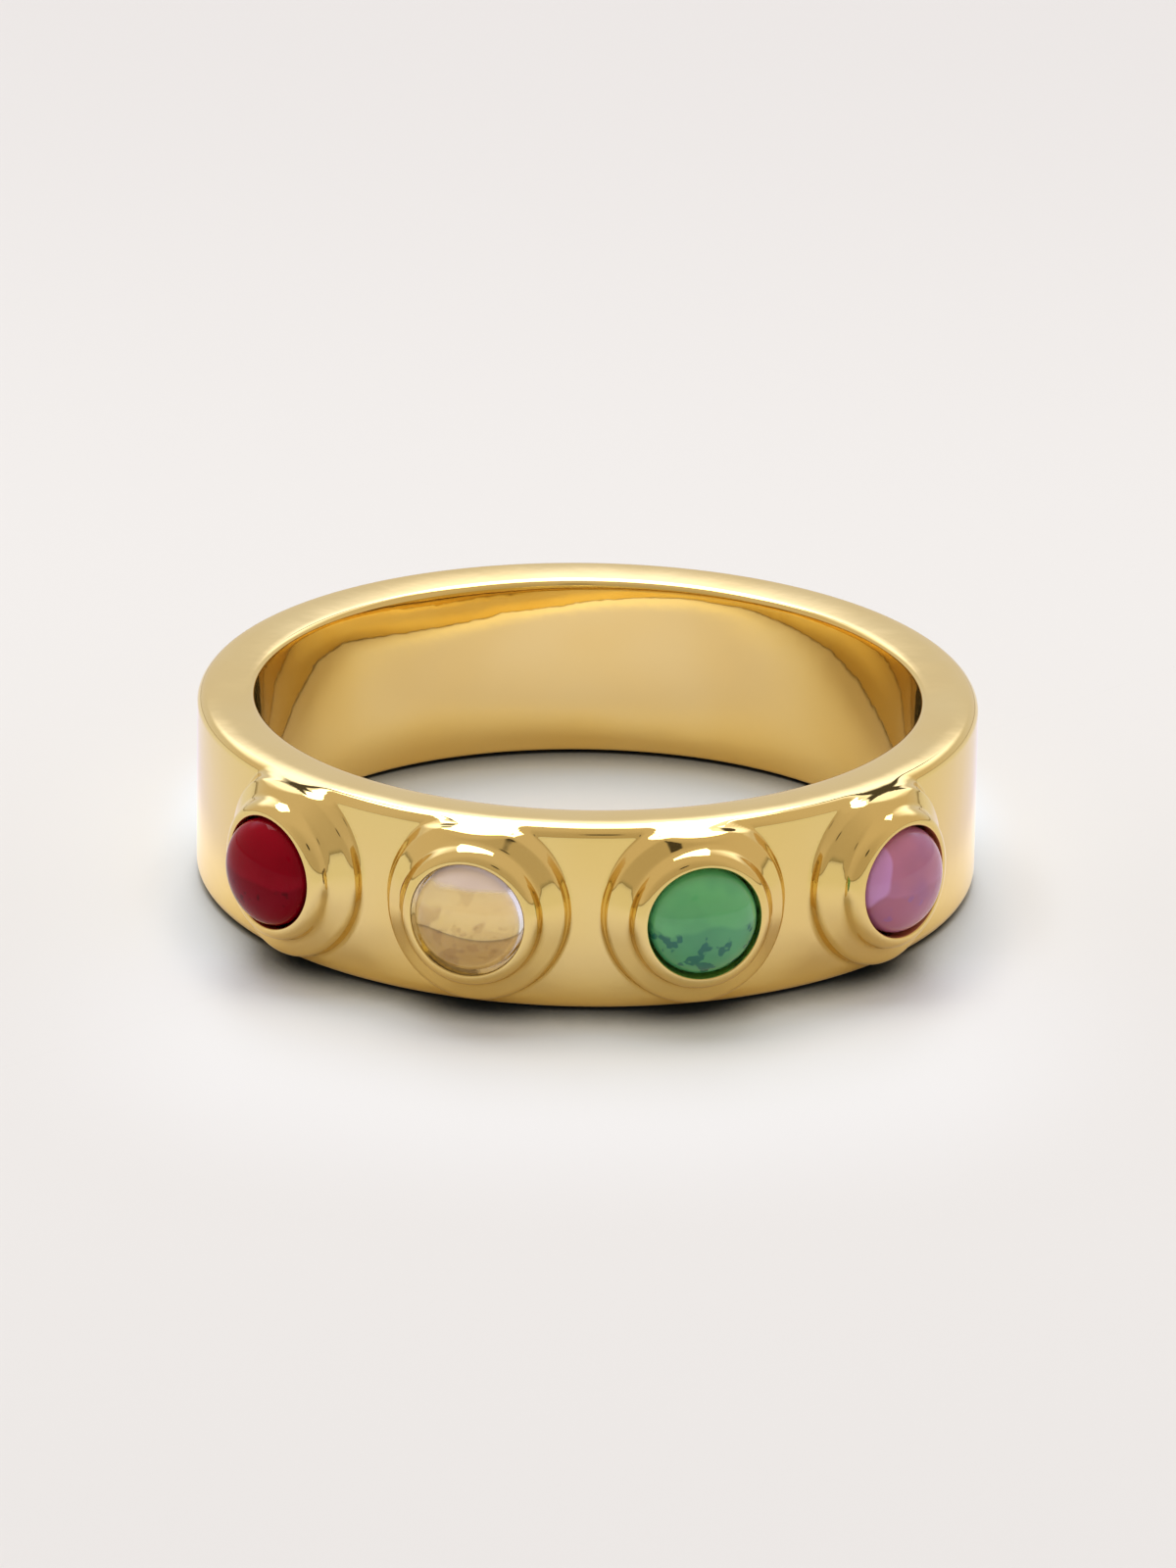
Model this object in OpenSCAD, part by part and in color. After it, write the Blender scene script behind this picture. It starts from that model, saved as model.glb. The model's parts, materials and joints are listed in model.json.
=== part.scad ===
// Gold ring with four round cabochons in stepped settings.
// The finger hole runs along Z, its middle is the origin, and the stones face -Y.

/* [Band] */
// Inside diameter at the narrowest place, the middle of the band
bore_d = 17.2; // [15:0.1:21]
// Thickness of the metal at that place
wall = 1.65; // [1.5:0.05:2]
// Width of the band along the finger
band_w = 5; // [5:0.1:6]
// Length of the straight stretch in the middle of the bore
straight_w = 1.2; // [0.8:0.1:2]
// Radius of the comfort curve on each side of that stretch
comfort_r = 11.5; // [9:0.5:20]

/* [Edges] */
// Rounding where the bore meets the rims
inner_round = 0.14; // [0.1:0.02:0.26]
// Rounding where the outside meets the rims
outer_round = 0.26; // [0.15:0.01:0.3]
// Width at the outside of each rim that the polish has crowned
crown_w = 0.61; // [0.45:0.01:0.7]
// Radius of that crown
crown_r = 2.45; // [1.9:0.05:3.2]

/* [Settings] */
// Angle from one setting to the next
pitch = 31.6; // [30:0.1:40]
// How far the settings sit above the middle of the band
rise = 0.15; // [0:0.01:0.18]
// Diameter of the wide lower step
step_d = 4.8; // [4.6:0.05:4.8]
// Height of the lower step's edge above the band
step_h = 0.28; // [0.22:0.01:0.4]
// Rounding of the lower step's edge
step_round = 0.2; // [0.1:0.01:0.22]
// Slope of the lower step's top, falling away from the collar
step_slope = 20; // [12:1:24]
// Diameter of the collar around the stone
collar_d = 3.86; // [3.8:0.02:4]
// Height of the collar's lip above the band
lip_h = 0.93; // [0.85:0.01:1.2]
// Rounding of the collar's edge
collar_round = 0.34; // [0.1:0.01:0.38]
// Hollow rounding between the collar and the lower step
groove_round = 0.14; // [0.06:0.01:0.16]
// How far the tops of the lower steps lie under the line of the rim's crown
crown_drop = 0.03; // [0.02:0.01:0.08]

/* [Stones] */
// Diameter of the opening in the lip
opening_d = 3; // [2.96:0.02:3.1]
// Diameter of each stone
stone_d = 2.84; // [2.4:0.02:2.86]
// Gap between a stone and its seat
seat_gap = 0.04; // [0.02:0.01:0.06]
// Depth of the seat's floor below the lip
seat_depth = 1.15; // [1:0.05:1.5]
// Height above the band where the low dome's side begins to curve in
proud_girdle = 0.82; // [0.75:0.01:1]
// Height of the low dome
low_dome = 0.82; // [0.65:0.01:0.95]
// Height above the band where a high dome's side begins to curve in
sunk_girdle = 0.64; // [0.55:0.01:0.8]
// Height of the high domes
high_dome = 0.9; // [0.8:0.01:1.1]

/* [Hidden] */
$fn = 128;

bore_r = bore_d / 2;
outer_r = bore_r + wall;
half_w = band_w / 2;
crown_from = outer_r - crown_w;

// Places of the four stones, counted from the middle of the row
RED = -1.5;
CLEAR = -0.5;
GREEN = 0.5;
VIOLET = 1.5;
SEATS = [RED, CLEAR, GREEN, VIOLET];

// Centres of the arcs in the band's section, as [radius from the axis, height]
comfort_c = [bore_r + comfort_r, straight_w / 2];
inner_c_z = half_w - inner_round;
inner_c = [comfort_c.x - chord(comfort_r - inner_round, inner_c_z - comfort_c.y), inner_c_z];
crown_c = [crown_from, half_w - crown_r];
outer_c_x = outer_r - outer_round;
outer_c = [outer_c_x, crown_c.y + chord(crown_r - outer_round, outer_c_x - crown_c.x)];

// Points where neighbouring arcs of the section meet
comfort_end = comfort_c + (inner_c - comfort_c) * comfort_r / (comfort_r - inner_round);
crown_end = crown_c + (outer_c - crown_c) * crown_r / (crown_r - outer_round);

// A setting's section, as [radius from its own axis, height above the band]
collar_r = collar_d / 2;
step_r = step_d / 2;
step_c = [step_r - step_round, step_h - step_round];
step_shoulder = step_c + step_round * [sin(step_slope), cos(step_slope)];
groove_x = collar_r + groove_round;
groove_c = [groove_x, step_top(groove_x) + groove_round / cos(step_slope)];
// Where the hollow runs into the step's sloping top
groove_end = groove_x - groove_round * sin(step_slope);
// The settings are closed inside the metal, this far under the band's surface
buried = 0.9;
// How far under the lip the seat's side begins to flare
flare_depth = 0.31;
// How far the cutters stand past the faces that they cut
overcut = 0.5;

// Half of a circle's height at a given distance from its centre
function chord(radius, offset) = sqrt(radius * radius - offset * offset);

// Height of the lower step's sloping top at a distance from the setting's axis
function step_top(x) = step_shoulder.y + (step_shoulder.x - x) * tan(step_slope);

// Section of the band on the side of the axis that rotate_extrude needs
module band_section() {
    corners = [
        [bore_r, straight_w / 2],
        comfort_end,
        [inner_c.x, half_w],
        [crown_from, half_w],
        crown_end,
        [outer_r, outer_c.y],
    ];
    polygon(concat(corners, [for (k = [len(corners) - 1:-1:0]) [corners[k].x, -corners[k].y]]));
    for (side = [0, 1]) mirror([0, side]) {
        translate(inner_c) circle(inner_round);
        translate(outer_c) circle(outer_round);
        intersection() {
            translate(comfort_c) circle(comfort_r);
            translate([bore_r, straight_w / 2])
                square([wall / 2, comfort_end.y - straight_w / 2]);
        }
        intersection() {
            translate(crown_c) circle(crown_r);
            translate([crown_from, half_w / 2]) square([crown_end.x - crown_from, half_w]);
        }
    }
}

// Places its children at a setting, with their Z pointing out of the ring
module at_setting(place) {
    rotate([0, 0, place * pitch]) translate([0, 0, rise]) rotate([90, 0, 0]) children();
}

// The wide lower step, turned about the setting's own axis
module lower_step() {
    translate([0, 0, outer_r]) rotate_extrude() {
        polygon([
            [0, -buried],
            [step_r, -buried],
            [step_r, step_c.y],
            step_shoulder,
            [0, step_shoulder.y],
        ]);
        polygon([[0, 0], step_shoulder, [0, step_top(0)]]);
        translate(step_c) circle(step_round);
    }
}

// The collar that holds the stone, with the hollow at its foot
module collar() {
    translate([0, 0, outer_r]) rotate_extrude() {
        square([collar_r, lip_h - collar_round]);
        square([collar_r - collar_round, lip_h]);
        translate([collar_r - collar_round, lip_h - collar_round]) circle(collar_round);
        difference() {
            square([groove_end, groove_c.y]);
            translate(groove_c) circle(groove_round);
        }
    }
}

// Everything under the crown of the upper rim, carried on out over the lower steps
module under_crown() {
    translate([0, 0, -crown_drop]) rotate_extrude() {
        translate([0, -half_w]) square([crown_from, band_w]);
        translate([0, -half_w]) square([crown_from + crown_r, half_w + crown_c.y]);
        translate(crown_c) circle(crown_r);
    }
}

// The hole that takes a stone: straight at the seat and flaring to the lip
module seat_cut() {
    seat_r = stone_d / 2 + seat_gap;
    floor_z = outer_r + lip_h - seat_depth;
    flare_z = outer_r + lip_h - flare_depth;
    flare_slope = (opening_d / 2 - seat_r) / flare_depth;
    flare_h = flare_depth + overcut;
    translate([0, 0, floor_z]) cylinder(r = seat_r, h = flare_z - floor_z);
    translate([0, 0, flare_z])
        cylinder(r1 = seat_r, r2 = seat_r + flare_slope * flare_h, h = flare_h);
}

// A cabochon on its straight side: a shoulder arc that runs into a crown arc
module cabochon(girdle_h, dome_h) {
    stone_r = stone_d / 2;
    bottom = lip_h - seat_depth + seat_gap;
    shoulder = 0.6 * dome_h;
    across = stone_r - shoulder;
    top_r = (stone_r * stone_r + dome_h * dome_h - 2 * stone_r * shoulder) / (2 * (dome_h - shoulder));
    top_c_z = girdle_h + dome_h - top_r;
    // The arcs meet on the line through both their centres, and this point lies past it
    past = [across, girdle_h - top_c_z] * 3;
    translate([0, 0, outer_r]) rotate_extrude() {
        translate([0, bottom]) square([stone_r, girdle_h - bottom]);
        intersection() {
            translate([across, girdle_h]) circle(shoulder);
            translate([0, bottom]) square([stone_r + overcut, girdle_h - bottom + dome_h]);
        }
        intersection() {
            translate([0, top_c_z]) circle(top_r);
            translate([0, girdle_h]) polygon([
                [0, 0],
                [across, 0],
                [past.x, past.y + top_c_z - girdle_h],
                [past.x, 2 * dome_h],
                [0, 2 * dome_h],
            ]);
        }
    }
}

// The band with its four settings, cast and soldered into one piece of metal
module band() {
    color("gold") difference() {
        union() {
            rotate_extrude() band_section();
            intersection() {
                for (place = SEATS) at_setting(place) lower_step();
                under_crown();
            }
            for (place = SEATS) at_setting(place) collar();
        }
        for (place = SEATS) at_setting(place) seat_cut();
    }
}

module red_stone() {
    color("darkred") at_setting(RED) cabochon(proud_girdle, low_dome);
}

module clear_stone() {
    color("wheat") at_setting(CLEAR) cabochon(sunk_girdle, high_dome);
}

module green_stone() {
    color("seagreen") at_setting(GREEN) cabochon(sunk_girdle, high_dome);
}

module violet_stone() {
    color("mediumorchid") at_setting(VIOLET) cabochon(sunk_girdle, high_dome);
}

band();
red_stone();
clear_stone();
green_stone();
violet_stone();
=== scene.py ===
"""A gold ring with four round cabochons in stepped settings, lying on a pale studio floor."""

import json
import logging
import math
from collections.abc import Callable
from dataclasses import dataclass, field
from enum import Enum

import bmesh
import bpy
import numpy as np
from mathutils import Matrix, Vector


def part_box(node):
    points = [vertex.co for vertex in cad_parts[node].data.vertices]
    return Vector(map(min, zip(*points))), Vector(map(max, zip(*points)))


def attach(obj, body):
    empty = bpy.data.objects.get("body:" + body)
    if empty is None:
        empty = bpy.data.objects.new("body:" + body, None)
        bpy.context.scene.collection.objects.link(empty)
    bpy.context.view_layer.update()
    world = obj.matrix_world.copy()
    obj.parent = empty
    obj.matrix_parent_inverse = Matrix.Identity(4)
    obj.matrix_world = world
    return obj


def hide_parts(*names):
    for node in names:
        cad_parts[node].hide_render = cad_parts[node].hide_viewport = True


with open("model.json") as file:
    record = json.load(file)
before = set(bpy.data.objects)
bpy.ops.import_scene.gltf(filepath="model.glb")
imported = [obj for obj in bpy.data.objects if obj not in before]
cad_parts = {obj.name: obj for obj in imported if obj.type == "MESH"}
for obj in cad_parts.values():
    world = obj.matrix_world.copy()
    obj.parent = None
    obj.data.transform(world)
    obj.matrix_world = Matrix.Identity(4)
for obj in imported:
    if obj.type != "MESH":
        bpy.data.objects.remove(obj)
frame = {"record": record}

LOG = logging.getLogger("ring")
MM = 0.001
BODY = "root"
SEWN_WITHIN = 2e-8
NOISE_MIDDLE = 0.5

Array = np.ndarray
Distance = Callable[[Array], Array]
Colour = tuple[float, float, float]


class Gem(Enum):
    """The four stones, each with its place counted from the middle of the row."""

    RED = -1.5
    CLEAR = -0.5
    GREEN = 0.5
    VIOLET = 1.5

    @property
    def node(self) -> str:
        """Name of the stone's node and of its material slot."""
        return f"{self.name.lower()}_stone"


# Shapes


def round_edge(a: Array, b: Array, radius: Array | float, cosine: Array | float = 0.0) -> Array:
    """Intersect two signed distances and round the edge between them.

    Args:
        a: First distance, negative inside the metal.
        b: Second distance.
        radius: Radius of the rounding.
        cosine: Cosine of the angle between the two faces' normals.

    Returns:
        The distance of what lies inside both.
    """
    u, w = a + radius, b + radius
    at_edge = (u > cosine * w) & (w > cosine * u)
    square = (u * u + w * w - 2.0 * cosine * u * w) / (1.0 - cosine * cosine)
    return np.where(at_edge, np.sqrt(np.maximum(square, 0.0)) - radius, np.maximum(a, b))


def round_hollow(a: Array, b: Array, radius: float, cosine: Array | float = 0.0) -> Array:
    """Join two signed distances and round the hollow between them.

    Args:
        a: First distance, negative inside the metal.
        b: Second distance.
        radius: Radius of the hollow.
        cosine: Cosine of the angle between the two faces' normals.

    Returns:
        The distance of what lies inside either.
    """
    return -round_edge(-a, -b, radius, cosine)


@dataclass(frozen=True)
class SkinWalk:
    """Follows the skin of a signed distance through many flat cuts at once, in millimetres."""

    stride: float = 0.012
    most_strides: int = 1400
    probe: float = 1e-5
    touch_ups: int = 2
    least_steep: float = 1e-6

    def slope(self, distance: Distance, at: Array) -> Array:
        """Gradient of a distance over the last axis of its points.

        Args:
            distance: Signed distance of an array of points.
            at: Points, one row each.

        Returns:
            One gradient for each point.
        """
        parts = []
        for axis in range(at.shape[-1]):
            nudge = np.zeros(at.shape[-1])
            nudge[axis] = self.probe
            parts.append((distance(at + nudge) - distance(at - nudge)) / (2 * self.probe))
        return np.stack(parts, axis=-1)

    def settle(self, distance: Distance, at: Array) -> Array:
        """Move points onto the skin along its gradient.

        Args:
            distance: Signed distance of an array of points.
            at: Points near the skin.

        Returns:
            The points on the skin.
        """
        for _ in range(self.touch_ups):
            slope = self.slope(distance, at)
            steep = np.maximum((slope**2).sum(-1), self.least_steep)
            at = at - slope * (distance(at) / steep)[:, None]
        return at

    def run(self, distance: Distance, start: Array, heading: Array, past_end: Distance) -> list[Array]:
        """Walk from each start until its end.

        Args:
            distance: Signed distance of one point in each cut.
            start: Starting point in each cut.
            heading: Rough direction of the first stride in each cut.
            past_end: Positive for a point beyond the end of its walk.

        Returns:
            The points of each walk, one array for each cut.
        """
        at = self.settle(distance, start)
        trail = [at]
        done_at = np.full(len(at), -1)
        for stride in range(1, self.most_strides):
            slope = self.slope(distance, at)
            along = np.stack([-slope[:, 1], slope[:, 0]], axis=-1)
            along /= np.linalg.norm(along, axis=-1, keepdims=True)
            along *= np.where((along * heading).sum(-1) < 0, -1.0, 1.0)[:, None]
            at = self.settle(distance, at + along * self.stride)
            heading = at - trail[-1]
            trail.append(at)
            done_at[(done_at < 0) & (past_end(at) >= 0)] = stride
            if (done_at >= 0).all():
                break
        if (done_at < 0).any():
            raise RuntimeError("a walk over the skin never reached its end")
        trails = np.stack(trail, axis=1)
        walks = []
        for cut, last in enumerate(done_at):
            walks.append(trails[cut, : last + 1])
        return walks


@dataclass(frozen=True)
class Spacing:
    """Spreads points along a line, closer together where it turns.

    Its two values, a length in millimetres and a turn in radians, weigh the same.
    """

    leg: float = 0.16
    turn: float = math.radians(13)

    def spread(self, line: Array, count: int) -> Array:
        """Place evenly weighted points along a line.

        Args:
            line: Dense points of the line.
            count: How many points to place, both ends among them.

        Returns:
            The placed points.
        """
        legs = np.diff(line, axis=0)
        lengths = np.hypot(legs[:, 0], legs[:, 1])
        headings = np.unwrap(np.arctan2(legs[:, 1], legs[:, 0]))
        turns = np.abs(np.gradient(headings)) if len(headings) > 1 else np.zeros(len(legs))
        weights = np.concatenate([[0.0], np.cumsum(lengths / self.leg + turns / self.turn)])
        wanted = np.linspace(0.0, weights[-1], count)
        return np.stack([np.interp(wanted, weights, line[:, k]) for k in range(2)], axis=-1)


@dataclass(frozen=True)
class Shoulder:
    """A rounded shoulder between a top and a side, seen in section.

    The top falls away outwards by its slope and the side leans inwards, both in radians. The
    middle of the rounding is given as a distance from the axis and a height.
    """

    centre_r: float
    centre_h: Array | float
    radius: float
    slope: Array | float
    lean: Array | float

    def distance(self, r: Array, above: Array) -> Array:
        """Distance of the shoulder, negative inside.

        Args:
            r: Distance from the axis.
            above: Height.

        Returns:
            The distance.
        """
        out = r - self.centre_r
        up = above - self.centre_h
        top = out * np.sin(self.slope) + up * np.cos(self.slope)
        side = out * np.cos(self.lean) + up * np.sin(self.lean)
        past_top = out * np.cos(self.slope) - up * np.sin(self.slope)
        past_side = up * np.cos(self.lean) - out * np.sin(self.lean)
        rounded = (past_top > 0) & (past_side > 0)
        return np.where(rounded, np.hypot(out, up), np.maximum(top, side)) - self.radius


def ease(value: Array, start: float, end: float) -> Array:
    """Rise smoothly from 0 at a start to 1 at an end."""
    share = np.clip((value - start) / (end - start), 0.0, 1.0)
    return share * share * (3.0 - 2.0 * share)


@dataclass(frozen=True)
class StepForm:
    """Section of one setting, in millimetres from its axis and above the band.

    Its sides lean in more towards the upper rim, where the polishing wheel has reached them.
    """

    step_r: float = 2.2
    step_round: float = 0.2
    ledge_r: float = 2.02
    ledge_h: float = 0.49
    ledge_slope: float = math.radians(28)
    low_slope: float = math.radians(14)
    foot_round: float = 0.1
    collar_r: float = 1.52
    collar_round: float = 0.334
    collar_foot: float = 0.4
    lip_h: float = 0.981
    groove_round: float = 0.15
    sharp_from: tuple[float, float] = (0.05, 0.35)
    sharper: float = 0.18
    collar_lean: tuple[float, float] = (math.radians(9), math.radians(22))
    step_lean: tuple[float, float] = (math.radians(8), math.radians(36))
    turn_over: tuple[float, float] = (0.25, 0.95)
    opening_r: float = 1.497
    flare_h: float = 0.64
    seat_r: float = 1.46
    floor_h: float = -0.22
    opening_round: float = 0.05
    floor_round: float = 0.1

    def slope_at(self, up: Array) -> Array:
        """Slope of the lower step's ledge, less steep towards the lower rim."""
        return self.ledge_slope + (self.low_slope - self.ledge_slope) * ease(-up, *self.turn_over)

    def lean_at(self, up: Array, leans: tuple[float, float]) -> Array:
        """Lean of a side, from its first value to its second one towards the upper rim."""
        return leans[0] + (leans[1] - leans[0]) * ease(up, *self.turn_over)

    def lower_step(self, r: Array, up: Array, above: Array) -> Array:
        """Distance of the wide step, joined to the band's wall by a hollow foot.

        Args:
            r: Distance from the setting's axis.
            up: How far towards the upper rim, from -1 to 1.
            above: Height above the band's curved wall.

        Returns:
            The distance.
        """
        slope = self.slope_at(up)
        lean = self.lean_at(up, self.step_lean)
        fall = (self.step_r - self.ledge_r) * np.tan(slope) + self.step_round / np.cos(slope)
        step = Shoulder(self.step_r, self.ledge_h - fall, self.step_round, slope, lean)
        return round_hollow(above, step.distance(r, above), self.foot_round, np.sin(lean))

    def collar(self, r: Array, up: Array, above: Array) -> Array:
        """Distance of the collar around the stone.

        Args:
            r: Distance from the setting's axis.
            up: How far towards the upper rim, from -1 to 1.
            above: Height above the band's curved wall.

        Returns:
            The distance.
        """
        lean = self.lean_at(up, self.collar_lean)
        collar = Shoulder(self.collar_r, self.lip_h - self.collar_round, self.collar_round, 0.0, lean)
        return collar.distance(r, np.maximum(above, self.collar_foot))

    def seat(self, r: Array, above: Array, level: Array) -> Array:
        """Distance of the hole for the stone, negative in the hole.

        Args:
            r: Distance from the setting's axis.
            above: Height above the band's curved wall.
            level: Height above the band along the setting's axis.

        Returns:
            The distance.
        """
        flare = (self.opening_r - self.seat_r) / (self.lip_h - self.flare_h)
        side = r - self.seat_r - flare * np.maximum(above - self.flare_h, 0.0)
        return round_edge(side, self.floor_h - level, self.floor_round)


class RingPart:
    """A part of the ring, which gives the piece that it builds a finish and a place."""

    def dress(self, piece: bpy.types.Object, material: bpy.types.Material, slot: str, node: str) -> None:
        """Give a piece its finish and let it stand for its node.

        Args:
            piece: The piece.
            material: Its finish.
            slot: Its material slot. Not used.
            node: The node that it replaces.
        """
        piece.data.materials.append(material)
        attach(piece, BODY)
        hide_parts(node)
        LOG.info("%s: %d faces", piece.name, len(piece.data.polygons))


@dataclass(frozen=True)
class Stretch:
    """A stretch of the ring, by its bearing, where the bore is straight for longer."""

    at: float
    spread: float
    more: float


@dataclass
class Band(RingPart):
    """The band with its four settings: one piece of metal.

    Lengths are in millimetres and angles in radians. A bearing is an angle around the ring,
    counted from the middle of the row of stones.
    """

    bore_r: float
    half_w: float
    wall: float = 1.65
    straight: float = 0.6
    longer: tuple[Stretch, ...] = (
        Stretch(at=math.radians(153), spread=math.radians(38), more=1.1),
        Stretch(at=math.radians(240), spread=math.radians(20), more=1.0),
    )
    comfort_r: float = 11.5
    inner_round: float = 0.13
    upper_round: float = 0.235
    lower_round: float = 0.3
    crown_w: float = 0.61
    crown_r: float = 2.45
    inner_crown_w: float = 1.0
    inner_crown_r: float = 12.0
    back_crown_w: float = 0.2
    back_inner_crown_w: float = 1.45
    back_from: tuple[float, float] = (math.radians(95), math.radians(160))
    pitch: float = math.radians(31.62)
    rise: float = 0.155
    form: StepForm = field(default_factory=StepForm)
    rim_join: float = 9.62
    side_points: int = 72
    inner_points: int = 42
    rim_columns: int = 46
    plain_columns: int = 168
    seat_rows: int = 30
    step_rows: int = 36
    split_r: float = 2.0
    start_r: float = 0.05
    walk: SkinWalk = field(default_factory=SkinWalk)
    spacing: Spacing = field(default_factory=Spacing)

    @property
    def outer_r(self) -> float:
        """Radius of the band's outside."""
        return self.bore_r + self.wall

    @property
    def half_pitch(self) -> float:
        """Half the angle between two settings."""
        return self.pitch / 2

    def crown(self, rho: Array, z: Array, bearing: Array | float) -> Array:
        """Distance above the rims, flat in a narrow ring and crowned on both sides of it.

        Args:
            rho: Distance from the ring's axis.
            z: Height from the middle of the band.
            bearing: Bearing from the middle of the row.

        Returns:
            The distance, negative inside the metal, with the inner crown wider at the back.
        """
        level = np.abs(z)
        behind = ease(np.pi - np.abs(np.pi - np.mod(bearing, 2 * np.pi)), *self.back_from)
        outer_w = self.crown_w + (self.back_crown_w - self.crown_w) * behind
        inner_w = self.inner_crown_w + (self.back_inner_crown_w - self.inner_crown_w) * behind
        out = rho - (self.outer_r - outer_w)
        arc = np.hypot(out, level - (self.half_w - self.crown_r)) - self.crown_r
        within = self.bore_r + inner_w - rho
        inner_arc = np.hypot(within, level - (self.half_w - self.inner_crown_r)) - self.inner_crown_r
        return np.where(out > 0, arc, np.where(within > 0, inner_arc, level - self.half_w))

    def edge_round(self, z: Array) -> Array:
        """Rounding of the outer edge of the upper or the lower rim."""
        return np.where(z > 0, self.upper_round, self.lower_round)

    def straight_at(self, bearing: Array | float) -> Array:
        """Half length of the bore's straight stretch, longer at the back of the ring.

        Args:
            bearing: Bearing from the middle of the row.

        Returns:
            The half length.
        """
        half = self.straight
        for stretch in self.longer:
            off = np.angle(np.exp(1j * (np.asarray(bearing) - stretch.at)))
            half = half + stretch.more * np.exp(-((off / stretch.spread) ** 2))
        return half

    def curved_out(self, past: Array | float) -> Array:
        """How far the comfort curve lies outwards at a distance past the straight stretch."""
        return self.comfort_r - np.sqrt(self.comfort_r**2 - np.square(past))

    def bore(self, rho: Array, z: Array, bearing: Array | float) -> Array:
        """Distance of the comfort-curved bore, negative in the metal.

        Args:
            rho: Distance from the ring's axis.
            z: Height from the middle of the band.
            bearing: Bearing from the middle of the row.

        Returns:
            The distance, with the bore a little wider where its straight stretch is longer.
        """
        straight = self.straight_at(bearing)
        wider = self.curved_out(self.half_w - self.straight) - self.curved_out(self.half_w - straight)
        past = np.maximum(np.abs(z) - straight, 0.0)
        return self.bore_r + wider + self.curved_out(past) - rho

    def plain_section(self, rho: Array, z: Array, bearing: Array | float) -> Array:
        """Distance of the band away from its settings."""
        outside = round_edge(rho - self.outer_r, self.crown(rho, z, bearing), self.edge_round(z))
        return round_edge(outside, self.bore(rho, z, bearing), self.inner_round)

    def at_setting(self, x: Array, v: Array, h: Array, bearing: Array | float = 0.0) -> Array:
        """Distance of the metal around one setting.

        Args:
            x: Sideways from the setting's axis.
            v: Upwards from the setting's axis.
            h: Along the setting's axis, from the ring's axis.
            bearing: Bearing from the middle of the row, for the bore.

        Returns:
            The distance, negative inside the metal.
        """
        form = self.form
        rho = np.hypot(x, h)
        z = v + self.rise
        above = rho - self.outer_r
        r = np.where(h > 0, np.hypot(x, v), self.outer_r)
        up = v / np.maximum(r, self.start_r)
        sharper = ease(above, *form.sharp_from) * form.sharper
        crown = self.crown(rho, z, bearing)
        metal = round_edge(form.lower_step(r, up, above), crown, self.edge_round(z) - sharper)
        meeting = np.sin(form.slope_at(up) + form.lean_at(up, form.collar_lean))
        metal = round_hollow(metal, form.collar(r, up, above), form.groove_round, meeting)
        seat = form.seat(r, above, h - self.outer_r)
        metal = round_edge(metal, -seat, form.opening_round)
        return round_edge(metal, self.bore(rho, z, bearing), self.inner_round)

    def metal(self, points: Array) -> Array:
        """Distance of the whole band, each point taken with the setting that is nearest to it.

        Args:
            points: Points in the ring's frame, one row each.

        Returns:
            The distances, negative inside the metal.
        """
        bearing = np.arctan2(points[:, 0], -points[:, 1])
        first, last = Gem.RED.value, Gem.VIOLET.value
        place = first + np.clip(np.round(bearing / self.pitch - first), 0, last - first)
        rho = np.hypot(points[:, 0], points[:, 1])
        off = bearing - place * self.pitch
        return self.at_setting(rho * np.sin(off), points[:, 2] - self.rise, rho * np.cos(off), bearing)

    def section_lines(self, inside: bool, bearings: Array, count: int) -> Array:
        """Trace the plain section from the upper rim to the lower one at several bearings.

        Args:
            inside: Whether to go through the bore or over the outside.
            bearings: Where to cut the ring.
            count: How many points to place on each line.

        Returns:
            Points as (bearing, point, distance from the axis and height).
        """
        def distance(at: Array) -> Array:
            """Distance of one point in each cut."""
            return self.plain_section(at[:, 0], at[:, 1], bearings)

        def past_end(at: Array) -> Array:
            """How far a point lies past the join on the lower rim."""
            back = self.rim_join - at[:, 0]
            return np.where(at[:, 1] < 0, -back if inside else back, -1.0)

        cuts = len(bearings)
        start = np.tile([self.rim_join, self.half_w], (cuts, 1))
        heading = np.tile([-1.0 if inside else 1.0, 0.0], (cuts, 1))
        lines = []
        for line in self.walk.run(distance, start, heading, past_end):
            line[-1] = [line[0, 0], -line[0, 1]]
            lines.append(self.spacing.spread(line, count))
        return np.stack(lines)

    def patch_border(self, side: Array) -> Array:
        """Points around the border of a setting's patch, in its own axes.

        Args:
            side: The outside section, from the upper rim to the lower one.

        Returns:
            Points (x, v, h), once around.
        """
        def place(bearing: Array, rho: Array, z: Array) -> Array:
            """Put points of the ring in the setting's axes."""
            return np.stack([rho * np.sin(bearing), z - self.rise, rho * np.cos(bearing)], axis=-1)

        bearings = np.linspace(-self.half_pitch, self.half_pitch, self.rim_columns + 1)
        rim = np.full(len(bearings), self.rim_join)
        level = np.full(len(bearings), self.half_w)
        right = place(np.full(len(side), self.half_pitch), side[:, 0], side[:, 1])
        left = place(np.full(len(side), -self.half_pitch), side[:, 0], side[:, 1])
        upper = place(bearings, rim, level)
        lower = place(bearings, rim, -level)
        return np.concatenate([right[:-1], lower[::-1][:-1], left[::-1][:-1], upper[:-1]])

    def setting_patch(self, border: Array) -> Array:
        """Skin of one setting, as columns that run from the seat's floor to the border.

        Args:
            border: Points around the patch's border.

        Returns:
            Points (column, row, xyz) in the setting's own axes.
        """
        turn = np.arctan2(border[:, 1], border[:, 0])
        across, up = np.cos(turn), np.sin(turn)

        def distance(at: Array) -> Array:
            """Distance of one point in each column's cut."""
            return self.at_setting(at[:, 0] * across, at[:, 0] * up, at[:, 1])

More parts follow.
